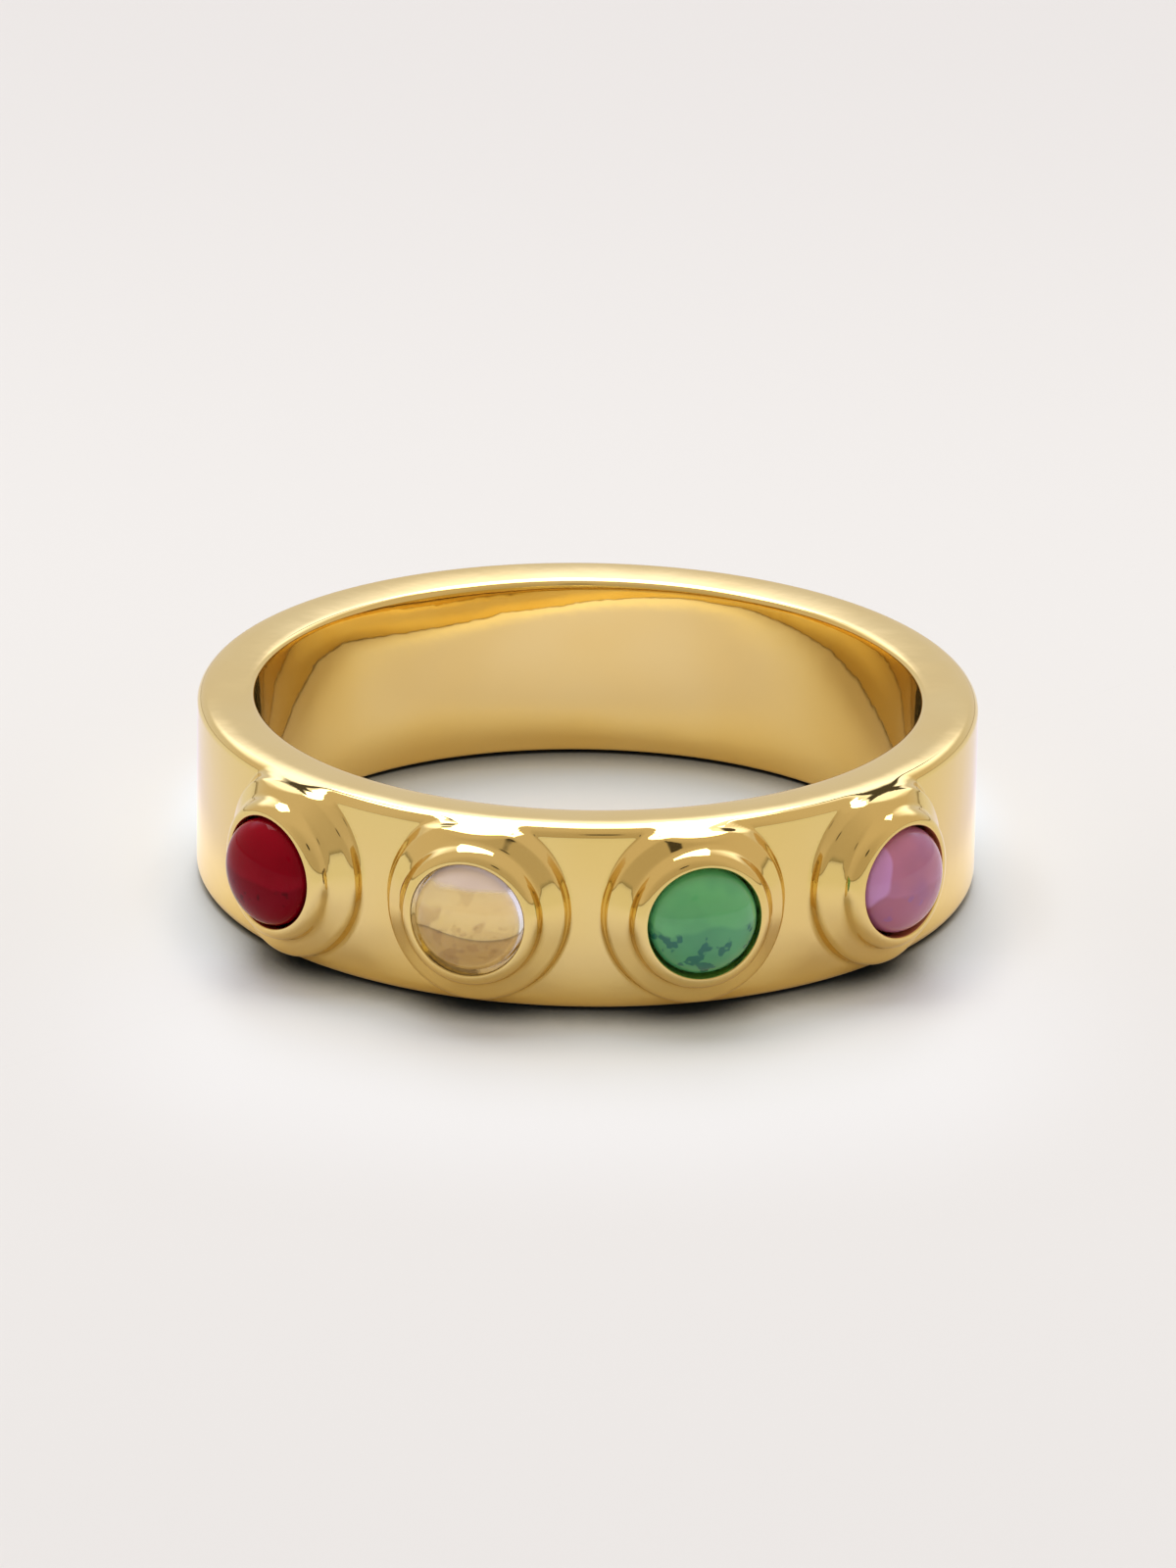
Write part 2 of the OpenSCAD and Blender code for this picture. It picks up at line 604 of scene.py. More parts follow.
        def past_end(at: Array) -> Array:
            """How far a point lies past the patch's border.

            Args:
                at: One point in each cut.

            Returns:
                The distances, negative within the patch.
            """
            x = at[:, 0] * across
            rho = np.hypot(x, at[:, 1])
            sideways = (np.abs(np.arctan2(x, at[:, 1])) - self.half_pitch) * rho
            return np.maximum(sideways, self.rim_join - rho)

        start = np.tile([self.start_r, self.outer_r + self.form.floor_h], (len(turn), 1))
        heading = np.tile([1.0, 0.0], (len(turn), 1))
        columns = []
        for k, line in enumerate(self.walk.run(distance, start, heading, past_end)):
            line[-1] = [math.hypot(border[k, 0], border[k, 1]), border[k, 2]]
            split = int(np.argmax(line[:, 0] > self.split_r))
            inner = self.spacing.spread(line[: split + 1], self.seat_rows)
            outer = self.spacing.spread(line[split:], self.step_rows)
            column = np.concatenate([inner, outer[1:]])
            r, h = column[:, 0], column[:, 1]
            columns.append(np.stack([r * across[k], r * up[k], h], axis=-1))
        return np.stack(columns)

    def to_ring(self, local: Array, bearing: float) -> Array:
        """Turn points from a setting's axes into the ring's frame.

        Args:
            local: Points (x, v, h) in the setting's axes.
            bearing: Bearing of the setting from the middle of the row.

        Returns:
            The points (x, y, z).
        """
        x, v, h = local[..., 0], local[..., 1], local[..., 2]
        c, s = math.cos(bearing), math.sin(bearing)
        return np.stack([x * c + h * s, x * s - h * c, v + self.rise], axis=-1)

    def lathe(self, sections: Array, bearings: Array) -> Array:
        """Turn sections to their bearings.

        Args:
            sections: Points as (column, row, distance from the axis and height).
            bearings: Bearing of each column.

        Returns:
            Points (column, row, xyz).
        """
        across, ahead = np.sin(bearings)[:, None], np.cos(bearings)[:, None]
        sections = np.broadcast_to(sections, (len(bearings), *sections.shape[-2:]))
        rho, z = sections[..., 0], sections[..., 1]
        return np.stack([rho * across, -rho * ahead, z], axis=-1)

    def build(self) -> bpy.types.Object:
        """Build the band's mesh.

        Returns:
            The object, with normals taken from the true surface.
        """
        edge = len(Gem) * self.half_pitch
        back = np.linspace(edge, 2 * math.pi - edge, self.plain_columns + 1)
        front = np.linspace(-edge, edge, len(Gem) * self.rim_columns + 1)
        around = np.concatenate([front[:-1], back[:-1]])
        side = self.section_lines(inside=False, bearings=back, count=self.side_points)
        bore = self.section_lines(inside=True, bearings=around, count=self.inner_points)
        patch = self.setting_patch(self.patch_border(side[0]))
        sheets = MeshSheets()
        for gem in Gem:
            sheets.add(self.to_ring(patch, gem.value * self.pitch), closed=True, capped=True)
        sheets.add(self.lathe(side, back), closed=False)
        sheets.add(self.lathe(bore, around), closed=True)
        piece = sheets.make("band_skin")
        self.true_normals(piece)
        return piece

    def true_normals(self, piece: bpy.types.Object) -> None:
        """Give each corner of the mesh the normal of the true surface.

        Args:
            piece: The band's object.
        """
        mesh = piece.data
        points = np.zeros(len(mesh.vertices) * 3)
        mesh.vertices.foreach_get("co", points)
        normals = self.walk.slope(self.metal, points.reshape(-1, 3) / MM)
        normals /= np.maximum(np.linalg.norm(normals, axis=-1, keepdims=True), self.walk.least_steep)
        mesh.normals_split_custom_set_from_vertices(normals.tolist())


class MeshSheets:
    """Collects grids of points and sews them into one mesh."""

    def __init__(self) -> None:
        """Start with no points and no faces."""
        self.points: list[Array] = []
        self.faces: list[tuple[int, ...]] = []
        self.count = 0

    def add(self, grid: Array, closed: bool, capped: bool = False) -> None:
        """Add a grid of quads.

        Args:
            grid: Points as (column, row, xyz), in millimetres.
            closed: Whether the last column joins the first.
            capped: Whether the first row is closed around its middle.
        """
        columns, rows = grid.shape[:2]
        base = self.count
        self.points.append(grid.reshape(-1, 3))
        self.count += columns * rows
        for column in range(columns if closed else columns - 1):
            here = base + column * rows
            there = base + (column + 1) % columns * rows
            for row in range(rows - 1):
                self.faces.append((here + row, here + row + 1, there + row + 1, there + row))
        if capped:
            self.points.append(grid[:, 0].mean(axis=0, keepdims=True))
            for column in range(columns):
                there = (column + 1) % columns
                self.faces.append((self.count, base + column * rows, base + there * rows))
            self.count += 1

    def make(self, name: str) -> bpy.types.Object:
        """Sew the grids together.

        Args:
            name: Name of the piece.

        Returns:
            A smooth-shaded object in metres.
        """
        mesh = bpy.data.meshes.new(name)
        mesh.from_pydata((np.concatenate(self.points) * MM).tolist(), [], self.faces)
        sewing = bmesh.new()
        sewing.from_mesh(mesh)
        bmesh.ops.remove_doubles(sewing, verts=sewing.verts, dist=SEWN_WITHIN)
        bmesh.ops.recalc_face_normals(sewing, faces=sewing.faces)
        sewing.to_mesh(mesh)
        sewing.free()
        mesh.polygons.foreach_set("use_smooth", [True] * len(mesh.polygons))
        piece = bpy.data.objects.new(name, mesh)
        bpy.context.scene.collection.objects.link(piece)
        return piece


@dataclass(frozen=True)
class StoneCut:
    """Where a stone's dome begins above the band and how far it rises, in millimetres."""

    girdle_h: float
    dome_h: float


@dataclass
class Cabochon(RingPart):
    """A round stone with a straight side and a dome, in millimetres."""

    gem: Gem
    cut: StoneCut
    band: Band
    radius: float = 1.42
    bottom_h: float = -0.18
    bottom_round: float = 0.12
    columns: int = 128
    dome_points: int = 40
    corner_points: int = 6

    def section(self) -> Array:
        """Half section from the middle of the back to the top of the dome.

        Returns:
            Points as (distance from the stone's axis, height from the ring's axis).
        """
        corner = np.linspace(-math.pi / 2, 0, self.corner_points)
        dome = np.linspace(0, math.pi / 2, self.dome_points)[:-1]
        edge = self.radius - self.bottom_round
        low = self.bottom_h + self.bottom_round
        back = np.array([[edge / 2, self.bottom_h]])
        round_r = edge + self.bottom_round * np.cos(corner)
        round_h = low + self.bottom_round * np.sin(corner)
        round_back = np.stack([round_r, round_h], axis=-1)
        front_r = self.radius * np.cos(dome)
        front_h = self.cut.girdle_h + self.cut.dome_h * np.sin(dome)
        front = np.stack([front_r, front_h], axis=-1)
        return np.concatenate([back, round_back, front]) + [0.0, self.band.outer_r]

    def build(self) -> bpy.types.Object:
        """Build the stone's closed mesh.

        Returns:
            The object.
        """
        section = self.section()
        turn = np.arange(self.columns) * (2 * math.pi / self.columns)
        r = section[None, :, 0]
        local = np.stack(
            [
                r * np.cos(turn)[:, None],
                r * np.sin(turn)[:, None],
                np.broadcast_to(section[None, :, 1], (self.columns, len(section))),
            ],
            axis=-1,
        )
        sheets = MeshSheets()
        grid = self.band.to_ring(local, self.gem.value * self.band.pitch)
        sheets.add(grid, closed=True, capped=True)
        top = np.array([0.0, 0.0, self.band.outer_r + self.cut.girdle_h + self.cut.dome_h])
        peak = self.band.to_ring(top, self.gem.value * self.band.pitch)
        sheets.points.append(peak[None])
        rows = len(section)
        for column in range(self.columns):
            there = (column + 1) % self.columns
            sheets.faces.append((sheets.count, there * rows + rows - 1, column * rows + rows - 1))
        sheets.count += 1
        return sheets.make(f"{self.gem.node}_cut")


# Finishes, with painted light on the stones and the floor


class NodeMaker:
    """Adds and links shader nodes with little fuss."""

    def __init__(self, owner: bpy.types.Material | bpy.types.World) -> None:
        """Empty the tree of a material or a world.

        Args:
            owner: The material or the world.
        """
        owner.use_nodes = True
        self.tree = owner.node_tree
        self.tree.nodes.clear()

    def add(self, kind: str, **settings: object) -> bpy.types.Node:
        """Add a node and set its properties and sockets.

        Args:
            kind: The node's type.
            settings: Properties by their name, or sockets by theirs, with _ for a space.

        Returns:
            The node.
        """
        node = self.tree.nodes.new(kind)
        for name, value in settings.items():
            socket = node.inputs.get(name.replace("_", " "))
            if socket is None:
                setattr(node, name, value)
            else:
                self.feed(socket, value)
        return node

    def feed(self, socket: bpy.types.NodeSocket, value: object) -> None:
        """Link an output to an input, or set the input to a value.

        Args:
            socket: The input.
            value: An output or a plain value.
        """
        if isinstance(value, bpy.types.NodeSocket):
            self.tree.links.new(value, socket)
        else:
            socket.default_value = value

    def math(self, operation: str, *values: object) -> bpy.types.NodeSocket:
        """Work out a number.

        Args:
            operation: The math node's operation.
            values: Outputs or plain numbers, in the order of the node's inputs.

        Returns:
            The result.
        """
        node = self.add("ShaderNodeMath", operation=operation)
        for socket, value in zip(node.inputs, values):
            self.feed(socket, value)
        return node.outputs[0]

    def ramp(self, value: bpy.types.NodeSocket, start: float, end: float) -> bpy.types.NodeSocket:
        """Rise smoothly from 0 at a start to 1 at an end.

        Args:
            value: What the rise follows.
            start: Its value at 0.
            end: Its value at 1.

        Returns:
            The result.
        """
        node = self.add("ShaderNodeMapRange", interpolation_type="SMOOTHSTEP")
        self.feed(node.inputs["Value"], value)
        node.inputs["From Min"].default_value = start
        node.inputs["From Max"].default_value = end
        return node.outputs["Result"]

    def blend(self, share: bpy.types.NodeSocket, low: object, high: object) -> bpy.types.NodeSocket:
        """Mix two colours.

        Args:
            share: Share of the second colour.
            low: First colour, a plain one or an output.
            high: Second colour.

        Returns:
            The mix.
        """
        node = self.add("ShaderNodeMix", data_type="RGBA")
        sockets = [socket for socket in node.inputs if socket.type == "RGBA"]
        self.feed(node.inputs[0], share)
        for socket, value in zip(sockets, (low, high)):
            self.feed(socket, (*value, 1.0) if isinstance(value, tuple) else value)
        return next(socket for socket in node.outputs if socket.type == "RGBA")

    def noise(self, place: bpy.types.NodeSocket, size: float, detail: float = 1.0) -> bpy.types.NodeSocket:
        """Make noise whose waves have a size in metres."""
        node = self.add("ShaderNodeTexNoise", Vector=place, Scale=1.0 / size, Detail=detail)
        return node.outputs[0]

    def surface(self, shader: bpy.types.Node) -> None:
        """Use a shader for the material's surface."""
        output = self.add("ShaderNodeOutputMaterial")
        self.feed(output.inputs["Surface"], shader.outputs["BSDF"])


@dataclass(frozen=True)
class GoldPlate:
    """Mirror-polished yellow gold with the faint waves that a buffing wheel leaves.

    Lengths are in metres.
    """

    colour: Colour = (0.81, 0.625, 0.235)
    thick: Colour = (0.80, 0.60, 0.205)
    patch_size: float = 0.0035
    patch_edge: tuple[float, float] = (0.35, 0.65)
    roughness: tuple[float, float] = (0.02, 0.05)
    haze_detail: float = 3.0
    wave_size: float = 0.0022
    wave_depth: float = 0.000016
    ripple_size: float = 0.00035
    ripple_depth: float = 0.0000016
    metallic: float = 0.965

    def material(self) -> bpy.types.Material:
        """Make the material.

        Returns:
            The material.
        """
        material = bpy.data.materials.new("polished_gold")
        maker = NodeMaker(material)
        place = maker.add("ShaderNodeTexCoord").outputs["Object"]
        patches = maker.noise(place, self.patch_size)
        colour = maker.blend(maker.ramp(patches, *self.patch_edge), self.colour, self.thick)
        haze = maker.noise(place, self.ripple_size, self.haze_detail)
        spread = self.roughness[1] - self.roughness[0]
        roughness = maker.math("MULTIPLY_ADD", haze, spread, self.roughness[0])
        waves = maker.add("ShaderNodeBump", Strength=1.0, Distance=self.wave_depth)
        maker.feed(waves.inputs["Height"], maker.noise(place, self.wave_size))
        ripples = maker.add("ShaderNodeBump", Strength=1.0, Distance=self.ripple_depth)
        maker.feed(ripples.inputs["Height"], maker.noise(place, self.ripple_size))
        maker.feed(ripples.inputs["Normal"], waves.outputs["Normal"])
        shader = maker.add(
            "ShaderNodeBsdfPrincipled",
            Base_Color=colour,
            Metallic=self.metallic,
            Roughness=roughness,
            Normal=ripples.outputs["Normal"],
        )
        maker.surface(shader)
        return material


@dataclass(frozen=True)
class StoneLookAndPaintedLight:
    """A polished stone, from clear to almost opaque.

    Under a wavy line the stone has painted shade, with flaws inside. Past a second one it can have a
    painted sheen of another colour, less clear, on the side that a given direction points to. Lengths are
    in metres.
    """

    name: str
    colour: Colour
    low_painted_shade: Colour
    flaw: Colour
    transmission: float
    painted_sheen: Colour | None = None
    painted_sheen_toward: tuple[float, float, float] = (0.0, 0.0, 1.0)
    painted_sheen_h: float = 0.00118
    painted_sheen_blur: float = 0.00010
    painted_sheen_transmission: float = 0.35
    line_h: float = 0.00015
    line_blur: float = 0.00008
    line_wave: float = 0.0007
    wave_size: float = 0.0013
    flaw_size: float = 0.00045
    flaw_level: float = 0.6
    flaw_blur: float = 0.06
    detail: float = 2.0
    cloud_edge: tuple[float, float] = (0.4, 0.7)
    cloud_size: float = 0.0011
    cloud_depth: float = 0.2
    polish_size: float = 0.0016
    polish_depth: float = 0.000008
    roughness: float = 0.03
    gloss: float = 0.5
    refraction: float = 1.5

    def material(self) -> bpy.types.Material:
        """Make the material.

        Returns:
            The material.
        """
        material = bpy.data.materials.new(self.name)
        maker = NodeMaker(material)
        place = maker.add("ShaderNodeTexCoord").outputs["Object"]
        height = maker.add("ShaderNodeSeparateXYZ", Vector=place).outputs["Z"]
        wave = maker.math("SUBTRACT", maker.noise(place, self.wave_size), NOISE_MIDDLE)
        level = maker.math("MULTIPLY_ADD", wave, self.line_wave, height)
        # Painted shade on the lower part of the stone, below a wavy line.
        below = maker.ramp(level, self.line_h + self.line_blur, self.line_h - self.line_blur)
        colour = maker.blend(below, self.colour, self.low_painted_shade)
        clouds = maker.ramp(maker.noise(place, self.cloud_size, self.detail), *self.cloud_edge)
        cloudy = maker.math("MULTIPLY", clouds, self.cloud_depth)
        colour = maker.blend(cloudy, colour, self.flaw)
        flaws = maker.noise(place, self.flaw_size, self.detail)
        flaws = maker.ramp(flaws, self.flaw_level, self.flaw_level + self.flaw_blur)
        colour = maker.blend(maker.math("MULTIPLY", flaws, below), colour, self.flaw)
        transmission = self.transmission
        # Painted sheen on one side: a lighter colour that lets less light through.
        if self.painted_sheen is not None:
            along = maker.add("ShaderNodeVectorMath", operation="DOT_PRODUCT")
            maker.feed(along.inputs[0], place)
            maker.feed(along.inputs[1], self.painted_sheen_toward)
            over = maker.math("MULTIPLY_ADD", wave, self.line_wave, along.outputs["Value"])
            painted_sheen_share = maker.ramp(over, self.painted_sheen_h - self.painted_sheen_blur, self.painted_sheen_h + self.painted_sheen_blur)
            colour = maker.blend(painted_sheen_share, colour, self.painted_sheen)
            less = self.painted_sheen_transmission - self.transmission
            transmission = maker.math("MULTIPLY_ADD", painted_sheen_share, less, self.transmission)
        polish = maker.add("ShaderNodeBump", Strength=1.0, Distance=self.polish_depth)
        maker.feed(polish.inputs["Height"], maker.noise(place, self.polish_size))
        shader = maker.add(
            "ShaderNodeBsdfPrincipled",
            Base_Color=colour,
            Roughness=self.roughness,
            IOR=self.refraction,
            Specular_IOR_Level=self.gloss,
            Transmission_Weight=transmission,
            Normal=polish.outputs["Normal"],
        )
        maker.surface(shader)
        return material


@dataclass(frozen=True)
class PaperFloorAndPaintedLight:
    """Off-white paper with painted light: a painted pool of light in front of the ring, a painted contact
    shadow close under it and painted shade far behind.

    Close in front of the ring and in its hole a painted bluish tint cancels the gold's own warm light.
    Near the ring the metal sees a painted lighter, bluer copy of the paper, lighter still beside the ring
    and without the close shade. Lengths are in metres. Each pair gives where a change begins and where it
    is complete.
    """

    colour: Colour = (0.68, 0.70, 0.685)
    # Painted pool of light in front of the ring.
    near: Colour = (0.80, 0.85, 0.87)
    # Painted bluish tint beside the ring, against the gold's warm light.
    painted_cool_tint: Colour = (0.73, 0.835, 0.93)
    # Painted shade, darker far behind the ring.
    far: Colour = (0.595, 0.605, 0.596)
    # Painted contact shadow close under the ring.
    shade: Colour = (0.020, 0.030, 0.050)
    # Painted lighter copy of the paper that the metal sees near the ring, lighter still beside it.
    mirrored_painted_light: Colour = (0.75, 0.755, 0.93)
    mirrored_painted_light_beside: Colour = (1.0, 1.0, 0.98)
    ring_r: float = 0.0094
    beside: tuple[float, float] = (0.0048, 0.0014)
    near_within: tuple[float, float] = (0.026, 0.009)
    near_ahead: tuple[float, float] = (0.016, -0.010)
    near_sideways: tuple[float, float] = (0.0165, 0.0085)
    cool_sideways: tuple[float, float] = (0.0120, 0.0095)
    cool_ahead: tuple[float, float] = (0.0105, 0.0085)
    far_behind: tuple[float, float] = (0.010, 0.090)
    reach: float = 0.0022
    light_from: tuple[float, float, float] = (0.0, 0.5, 0.866)
    shut: float = 0.13
    open: float = 0.6

    def material(self) -> bpy.types.Material:
        """Make the material.

        Returns:
            The material.
        """
        material = bpy.data.materials.new("paper_floor")
        maker = NodeMaker(material)
        place = maker.add("ShaderNodeTexCoord").outputs["Object"]
        parts = maker.add("ShaderNodeSeparateXYZ", Vector=place)
        behind = parts.outputs["Y"]
        off_middle = maker.math("ABSOLUTE", parts.outputs["X"])
        away = maker.add("ShaderNodeVectorMath", operation="LENGTH", Vector=place).outputs["Value"]
        # Painted shade far behind the ring.
        colour = maker.blend(maker.ramp(behind, *self.far_behind), self.colour, self.far)
        # Painted pool of light near the ring and in front of it.
        around = maker.ramp(away, *self.near_within)
        lit = maker.math("MULTIPLY", around, maker.ramp(behind, *self.near_ahead))
        lit = maker.math("MULTIPLY", lit, maker.ramp(off_middle, *self.near_sideways))
        colour = maker.blend(lit, colour, self.near)
        off_ring = maker.math("ABSOLUTE", maker.math("SUBTRACT", away, self.ring_r))
        beside = maker.ramp(off_ring, *self.beside)
        # Painted contact shadow from occlusion, measured toward the lights behind the ring.
        nearby = maker.add("ShaderNodeAmbientOcclusion", Distance=self.reach)
        toward = maker.add("ShaderNodeCombineXYZ")
        for socket, part in zip(toward.inputs, self.light_from):
            socket.default_value = part
        maker.feed(nearby.inputs["Normal"], toward.outputs[0])
        share = maker.ramp(nearby.outputs["AO"], self.shut, self.open)
        # Painted bluish tint close beside the ring, in front of it and in its hole.
        painted_cool_share = maker.math("MULTIPLY", beside, maker.ramp(off_middle, *self.cool_sideways))
        painted_cool_share = maker.math("MULTIPLY", painted_cool_share, maker.ramp(behind, *self.cool_ahead))
        seen = maker.blend(share, self.shade, maker.blend(painted_cool_share, colour, self.painted_cool_tint))
        # The camera sees the painted contact shadow; other rays see the painted lighter copy near the
        # ring.
        direct = maker.add("ShaderNodeLightPath").outputs["Is Camera Ray"]
        mirrored_painted_light = maker.blend(beside, self.mirrored_painted_light, self.mirrored_painted_light_beside)
        colour = maker.blend(direct, maker.blend(around, colour, mirrored_painted_light), seen)
        maker.surface(maker.add("ShaderNodeBsdfDiffuse", Color=colour))
        return material


# Studio


@dataclass
class Camera:
    """A long lens that looks down on the ring.

    Angles are in radians. The nearest and the farthest sight are in metres, and all other
    lengths in millimetres.
    """

    distance: float = 308.0
    elevation: float = math.radians(20.509)
    azimuth: float = math.radians(-0.21)
    roll: float = math.radians(0.897)
    lens: float = 268.69
    sensor: float = 36.0
    aside: float = 0.0374
    above: float = -0.119
    nearest: float = 0.01
    farthest: float = 20.0

    def build(self) -> bpy.types.Object:
        """Place the camera and make it the scene's own.

        Returns:
            The camera.
        """
        turn = Matrix.Rotation(self.azimuth, 3, "Z")
        forward = turn @ Vector((0.0, math.cos(self.elevation), -math.sin(self.elevation)))
        level = turn @ Vector((1.0, 0.0, 0.0))
        upright = level.cross(forward)
        right = math.cos(self.roll) * level + math.sin(self.roll) * upright
        up = right.cross(forward)
        data = bpy.data.cameras.new("camera")
        data.lens = self.lens
        data.sensor_width = self.sensor
        data.clip_start = self.nearest
        data.clip_end = self.farthest
        camera = bpy.data.objects.new("camera", data)
        place = (-self.distance * forward + self.aside * right + self.above * up) * MM
        facing = Matrix((right, up, -forward)).transposed().to_4x4()
        camera.matrix_world = Matrix.Translation(place) @ facing
        bpy.context.scene.collection.objects.link(camera)
        bpy.context.scene.camera = camera
        return camera


@dataclass(frozen=True)
class WallPatch:
    """An oval of one colour in the room, given by its direction in degrees.

    Turn is counted from straight ahead of the ring's stones, and height from the horizon.
    """

    turn: float
    height: float
    half_turn: float
    half_height: float
    colour: Colour = (0.06, 0.05, 0.045)
    blur: float = 0.2


@dataclass(frozen=True)
class Room:
    """The light that comes from the room, by direction.

    Heights are in degrees above the horizon. The front and the back begin and are complete at
    two cosines, of the angles from straight ahead and from straight behind.
    """

    front: Colour = (0.55, 0.46, 0.37)
    side: Colour = (0.72, 0.61, 0.53)
    back: Colour = (0.78, 0.75, 0.81)
    glow: Colour = (2.1, 2.15, 2.8)
    glow_height: tuple[float, float] = (19.5, 33.5)
    front_from: tuple[float, float] = (0.3, 0.95)
    back_from: tuple[float, float] = (0.3, 0.85)
    skirting: Colour = (0.36, 0.32, 0.25)
    skirting_top: float = 1.5
    skirting_blur: float = 1.5
    patches: tuple[WallPatch, ...] = (
        WallPatch(turn=5.0, height=33.0, half_turn=7.0, half_height=5.0, colour=(0.06, 0.05, 0.04)),
        WallPatch(turn=-163.0, height=44.0, half_turn=5.0, half_height=7.0, blur=0.3),
        WallPatch(turn=164.0, height=38.0, half_turn=5.0, half_height=9.0, blur=0.3),
    )

    def build(self) -> bpy.types.World:
        """Make the world.

        Returns:
            The world.
        """
        world = bpy.data.worlds.new("room")
        maker = NodeMaker(world)
        direction = maker.add("ShaderNodeTexCoord").outputs["Generated"]
        x, y, z = maker.add("ShaderNodeSeparateXYZ", Vector=direction).outputs
        ahead = maker.math("MULTIPLY", y, -1.0)
        degree = math.degrees(1)
        height = maker.math("MULTIPLY", maker.math("ARCSINE", z), degree)
        turn = maker.math("MULTIPLY", maker.math("ARCTAN2", x, ahead), degree)
        colour = maker.blend(maker.ramp(ahead, *self.front_from), self.side, self.front)
        behind = maker.ramp(y, *self.back_from)
        back = maker.blend(maker.ramp(height, *self.glow_height), self.back, self.glow)
        colour = maker.blend(behind, colour, back)
        low, high = self.skirting_top - self.skirting_blur, self.skirting_top + self.skirting_blur
        colour = maker.blend(maker.ramp(height, low, high), self.skirting, colour)
        for patch in self.patches:
            across = maker.math("DIVIDE", maker.math("SUBTRACT", turn, patch.turn), patch.half_turn)
            up = maker.math("DIVIDE", maker.math("SUBTRACT", height, patch.height), patch.half_height)
            squares = maker.math("MULTIPLY_ADD", across, across, maker.math("MULTIPLY", up, up))
            reach = maker.math("SQRT", squares)
            colour = maker.blend(maker.ramp(reach, 1 - patch.blur, 1 + patch.blur), patch.colour, colour)
        shine = maker.add("ShaderNodeBackground", Color=colour)
        output = maker.add("ShaderNodeOutputWorld")
        maker.feed(output.inputs["Surface"], shine.outputs["Background"])
        return world


@dataclass(frozen=True)
class Softbox:
    """A level light above the ring, in metres.

    Its front and back edges are given in degrees above the horizon behind the ring.
    """

    name: str
    front: float
    back: float
    width: float
    shift: float
    glow: float = 4.8
    height: float = 0.5
    colour: Colour = (1.0, 1.0, 1.0)

    def build(self) -> bpy.types.Object:
        """Hang the light.

        Returns:
            The lamp.
        """
        near = self.height / math.tan(math.radians(self.front))
        far = self.height / math.tan(math.radians(self.back))
        depth = far - near
        data = bpy.data.lights.new(self.name, "AREA")
        data.shape = "RECTANGLE"
        data.size = self.width
        data.size_y = depth
        data.energy = self.glow * math.pi * self.width * depth
        data.color = self.colour
        lamp = bpy.data.objects.new(self.name, data)
        lamp.location = (self.shift, (near + far) / 2, self.height)
        bpy.context.scene.collection.objects.link(lamp)
        return lamp


@dataclass
class Studio:
    """A pale floor, two softboxes overhead and behind, and the room around them, in metres."""

    floor_z: float
    floor_size: float = 3.0
    softboxes: tuple[Softbox, ...] = (
        Softbox("wide_softbox", front=79.0, back=56.0, width=0.40, shift=-0.04),
        Softbox("long_softbox", front=56.0, back=33.0, width=0.19, shift=-0.01),
    )
    finish: PaperFloorAndPaintedLight = field(default_factory=PaperFloorAndPaintedLight)
    room: Room = field(default_factory=Room)

    def floor(self) -> bpy.types.Object:
        """Lay the floor.

        Returns:
            The object.
        """
        half = self.floor_size / 2
        mesh = bpy.data.meshes.new("floor")
        spread = [(-half, -half), (half, -half), (half, half), (-half, half)]
        mesh.from_pydata([(x, y, self.floor_z) for x, y in spread], [], [(0, 1, 2, 3)])
        floor = bpy.data.objects.new("floor", mesh)
        floor.data.materials.append(self.finish.material())
        bpy.context.scene.collection.objects.link(floor)
        return floor

    def build(self) -> None:
        """Put up the whole studio."""
        self.floor()
        for softbox in self.softboxes:
            softbox.build()
        bpy.context.scene.world = self.room.build()
        bpy.context.scene.view_settings.view_transform = "Standard"


# The ring


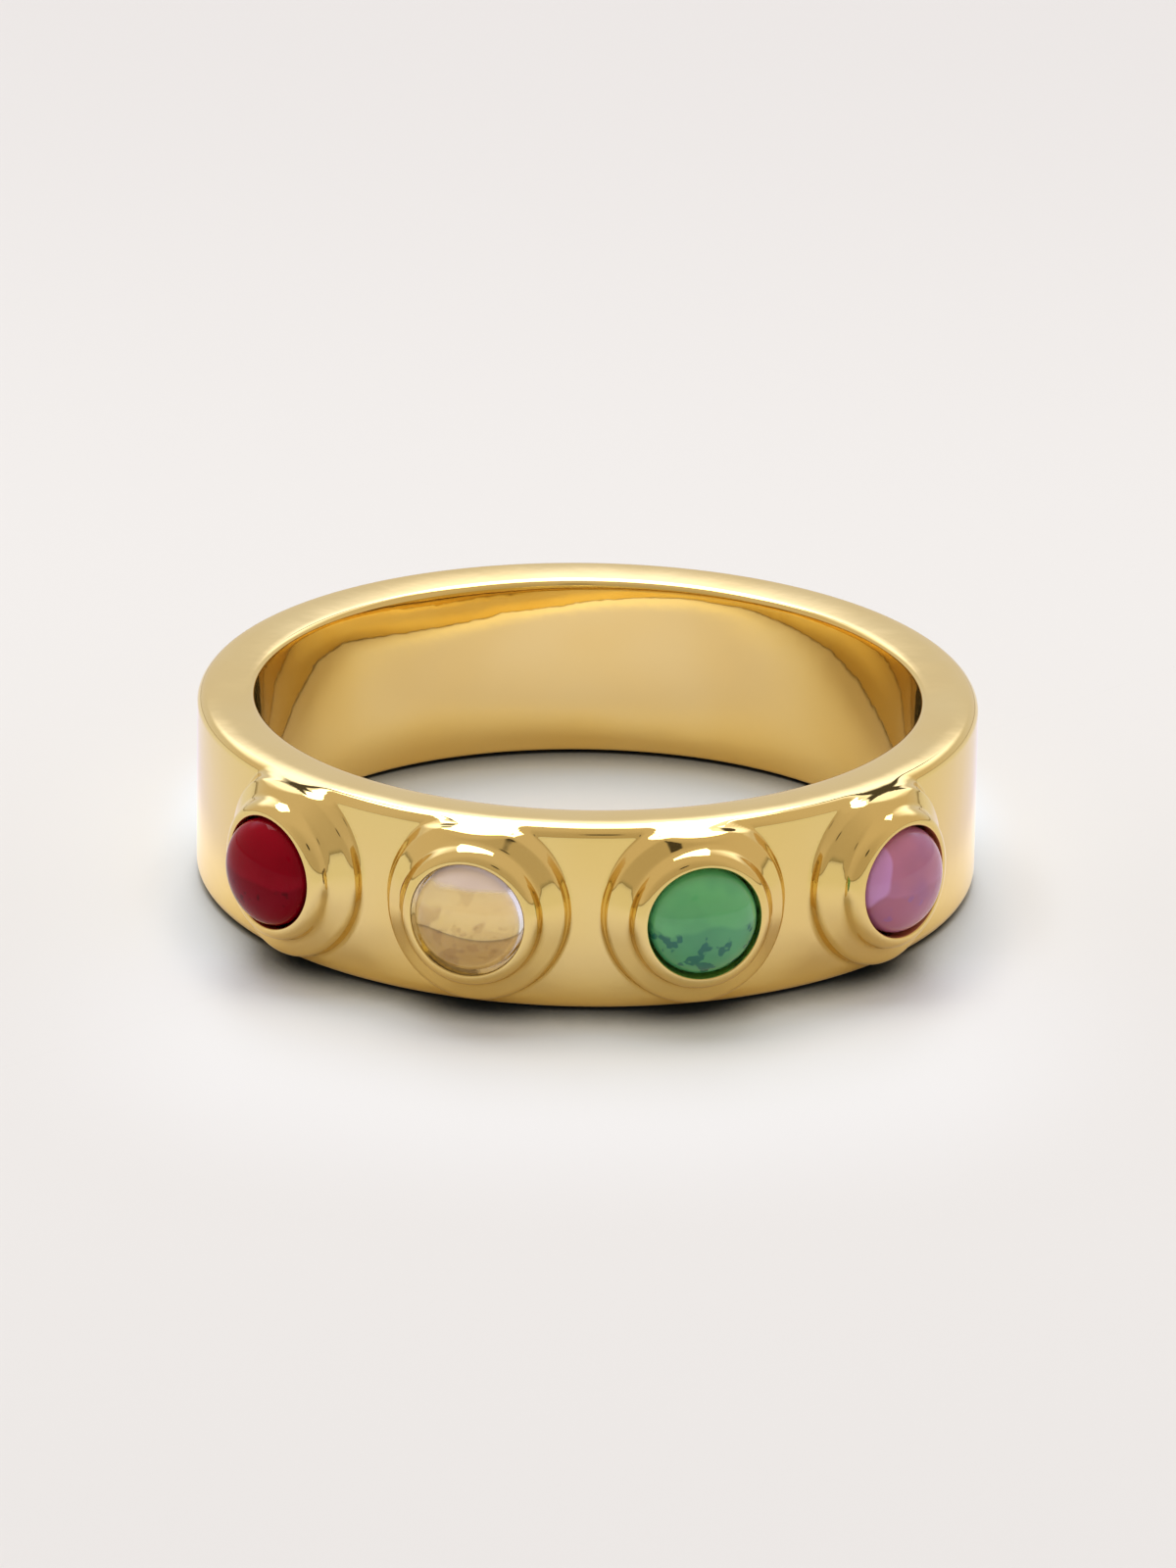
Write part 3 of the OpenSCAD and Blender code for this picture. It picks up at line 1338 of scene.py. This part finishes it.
HIGH_DOME = StoneCut(girdle_h=0.64, dome_h=0.90)
STONE_CUTS = {
    Gem.RED: StoneCut(girdle_h=0.82, dome_h=0.82),
    Gem.CLEAR: HIGH_DOME,
    Gem.GREEN: HIGH_DOME,
    Gem.VIOLET: HIGH_DOME,
}
STONE_LOOKS_AND_PAINTED_LIGHT = {
    Gem.RED: StoneLookAndPaintedLight(
        name="deep_red_stone",
        colour=(0.26, 0.001, 0.010),
        low_painted_shade=(0.19, 0.0, 0.006),
        flaw=(0.10, 0.0, 0.003),
        transmission=0.0,
        gloss=0.08,
    ),
    Gem.CLEAR: StoneLookAndPaintedLight(
        name="champagne_stone",
        colour=(1.0, 1.0, 1.0),
        low_painted_shade=(1.0, 0.97, 0.94),
        flaw=(0.80, 0.72, 0.64),
        transmission=1.0,
        # Painted highlight on the top of the dome.
        painted_sheen=(0.86, 0.78, 0.80),
        cloud_depth=0.08,
        flaw_size=0.0003,
        flaw_level=0.56,
    ),
    Gem.GREEN: StoneLookAndPaintedLight(
        name="green_glass_stone",
        colour=(0.20, 0.72, 0.28),
        low_painted_shade=(0.14, 0.57, 0.24),
        flaw=(0.03, 0.25, 0.17),
        transmission=0.38,
        flaw_level=0.53,
    ),
    Gem.VIOLET: StoneLookAndPaintedLight(
        name="mauve_stone",
        colour=(0.74, 0.28, 0.44),
        low_painted_shade=(0.64, 0.22, 0.33),
        flaw=(0.52, 0.21, 0.44),
        transmission=0.38,
        # Painted sheen on the left front side of the dome.
        painted_sheen=(0.84, 0.42, 0.84),
        painted_sheen_toward=(-0.648, -0.705, 0.287),
        painted_sheen_h=0.00114,
        painted_sheen_blur=0.00004,
        cloud_size=0.0014,
        cloud_depth=0.6,
    ),
}
FLOOR_GAP = 0.01


def main() -> None:
    """Build the ring and its studio."""
    logging.basicConfig(level=logging.INFO, format="%(name)s: %(message)s")
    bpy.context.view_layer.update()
    bore_r = frame["record"]["mounts"][0]["dims"]["r_mm"]
    half_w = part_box("band")[1].z / MM
    band = Band(bore_r=bore_r, half_w=half_w)
    band.dress(band.build(), GoldPlate().material(), slot="gold", node="band")
    for gem in Gem:
        stone = Cabochon(gem=gem, cut=STONE_CUTS[gem], band=band)
        stone.dress(stone.build(), STONE_LOOKS_AND_PAINTED_LIGHT[gem].material(), slot=gem.node, node=gem.node)
    Camera().build()
    Studio(floor_z=-(half_w + FLOOR_GAP) * MM).build()


if __name__ == "__main__":
    main()
